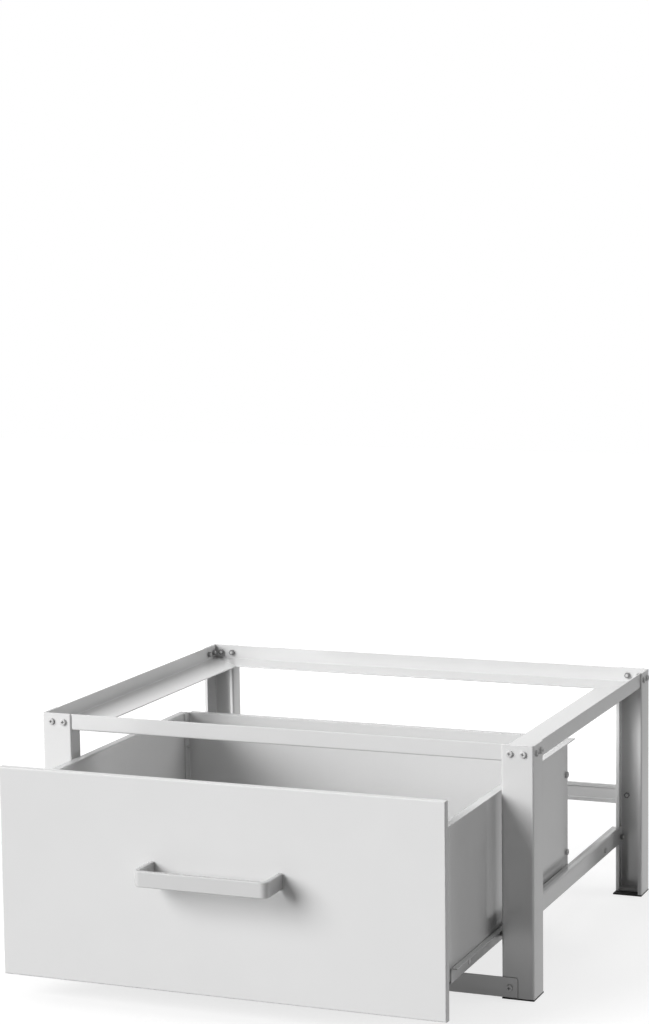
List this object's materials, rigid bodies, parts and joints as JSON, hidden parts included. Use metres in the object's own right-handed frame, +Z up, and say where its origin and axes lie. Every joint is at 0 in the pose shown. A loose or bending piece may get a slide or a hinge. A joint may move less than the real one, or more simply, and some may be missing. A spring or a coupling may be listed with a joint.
{
  "type": "laundry pedestal with drawer",
  "caption": "Low bolted steel stand that raises a washing machine, with a pull-out storage drawer on roller slides under it.",
  "frame": {"origin": "on the floor under the middle of the whole object's box, with the drawer standing open as at rest", "axes": "+X to the right seen from the front, +Y to the back, +Z up; the drawer comes out towards -Y"},
  "size_m": [0.6354, 0.7524, 0.3],
  "materials": {
    "frame_enamel": "powder-coated sheet steel, light grey-white, semi-gloss",
    "front_enamel": "powder-coated sheet steel, light grey, satin",
    "box_enamel": "powder-coated sheet steel, light grey, semi-gloss",
    "handle_lacquer": "lacquered metal, light grey, satin",
    "screw_zinc": "zinc plated",
    "pad_rubber": "matte",
    "roller_nylon": "moulded, satin"
  },
  "bodies": {
    "frame": {"leg_front_left": "frame_enamel", "leg_front_right": "frame_enamel", "leg_rear_left": "frame_enamel", "leg_rear_right": "frame_enamel", "foot_pad_front_left": "pad_rubber", "foot_pad_front_right": "pad_rubber", "foot_pad_rear_left": "pad_rubber", "foot_pad_rear_right": "pad_rubber", "rim_rail_left": "frame_enamel", "rim_rail_right": "frame_enamel", "side_rail_left": "frame_enamel", "side_rail_right": "frame_enamel", "slide_left": "box_enamel", "slide_right": "box_enamel", "foot_rail_screw_left": "screw_zinc", "foot_rail_screw_right": "screw_zinc", "cross_rail_screw_left": "screw_zinc", "cross_rail_screw_right": "screw_zinc", "slide_screw_front_left": "screw_zinc", "slide_screw_front_right": "screw_zinc", "slide_screw_rear_left": "screw_zinc", "slide_screw_rear_right": "screw_zinc", "rim_rail_front": "frame_enamel", "rim_rail_rear": "frame_enamel", "foot_rail_front": "frame_enamel", "cross_rail_rear": "frame_enamel", "rim_screw_front_1_left": "screw_zinc", "rim_screw_front_1_right": "screw_zinc", "rim_screw_front_2_left": "screw_zinc", "rim_screw_front_2_right": "screw_zinc", "rim_screw_rear_1_left": "screw_zinc", "rim_screw_rear_1_right": "screw_zinc", "rim_screw_rear_2_left": "screw_zinc", "rim_screw_rear_2_right": "screw_zinc", "rim_side_screw_front_1_left": "screw_zinc", "rim_side_screw_front_1_right": "screw_zinc", "rim_side_screw_front_2_left": "screw_zinc", "rim_side_screw_front_2_right": "screw_zinc", "rim_side_screw_rear_1_left": "screw_zinc", "rim_side_screw_rear_1_right": "screw_zinc", "rim_side_screw_rear_2_left": "screw_zinc", "rim_side_screw_rear_2_right": "screw_zinc"},
    "drawer": {"drawer_side_left": "box_enamel", "drawer_side_right": "box_enamel", "drawer_runner_left": "box_enamel", "drawer_runner_right": "box_enamel", "back_screw_lower_left": "screw_zinc", "back_screw_lower_right": "screw_zinc", "back_screw_upper_left": "screw_zinc", "back_screw_upper_right": "screw_zinc", "handle_screw_left": "screw_zinc", "handle_screw_right": "screw_zinc", "drawer_front": "front_enamel", "drawer_back": "box_enamel", "drawer_floor": "box_enamel", "handle": "handle_lacquer"},
    "slide_roller_left": {"slide_roller_left": "roller_nylon"},
    "slide_roller_right": {"slide_roller_right": "roller_nylon"},
    "runner_roller_left": {"runner_roller_left": "roller_nylon"},
    "runner_roller_right": {"runner_roller_right": "roller_nylon"}
  },
  "joints": [
    {"name": "drawer_slide", "type": "slide", "parent": "frame", "child": "drawer", "axis": [0, -1, 0], "range_m": [-0.187, 0.193]},
    {"name": "slide_roller_left_spin", "type": "hinge", "parent": "frame", "child": "slide_roller_left", "pos_m": [-0.2706, -0.09025, 0.067], "axis": [1, 0, 0], "continuous": true},
    {"name": "runner_roller_left_spin", "type": "hinge", "parent": "drawer", "child": "runner_roller_left", "pos_m": [-0.2689, 0.15375, 0.074], "axis": [1, 0, 0], "continuous": true},
    {"name": "slide_roller_right_spin", "type": "hinge", "parent": "frame", "child": "slide_roller_right", "pos_m": [0.2706, -0.09025, 0.067], "axis": [1, 0, 0], "continuous": true},
    {"name": "runner_roller_right_spin", "type": "hinge", "parent": "drawer", "child": "runner_roller_right", "pos_m": [0.2689, 0.15375, 0.074], "axis": [1, 0, 0], "continuous": true}
  ],
  "couplings": [
    {"joint": "slide_roller_left_spin", "follows": "drawer_slide", "rad_per_m": 117.65},
    {"joint": "runner_roller_left_spin", "follows": "drawer_slide", "rad_per_m": 117.65},
    {"joint": "slide_roller_right_spin", "follows": "drawer_slide", "rad_per_m": 117.65},
    {"joint": "runner_roller_right_spin", "follows": "drawer_slide", "rad_per_m": 117.65}
  ]
}
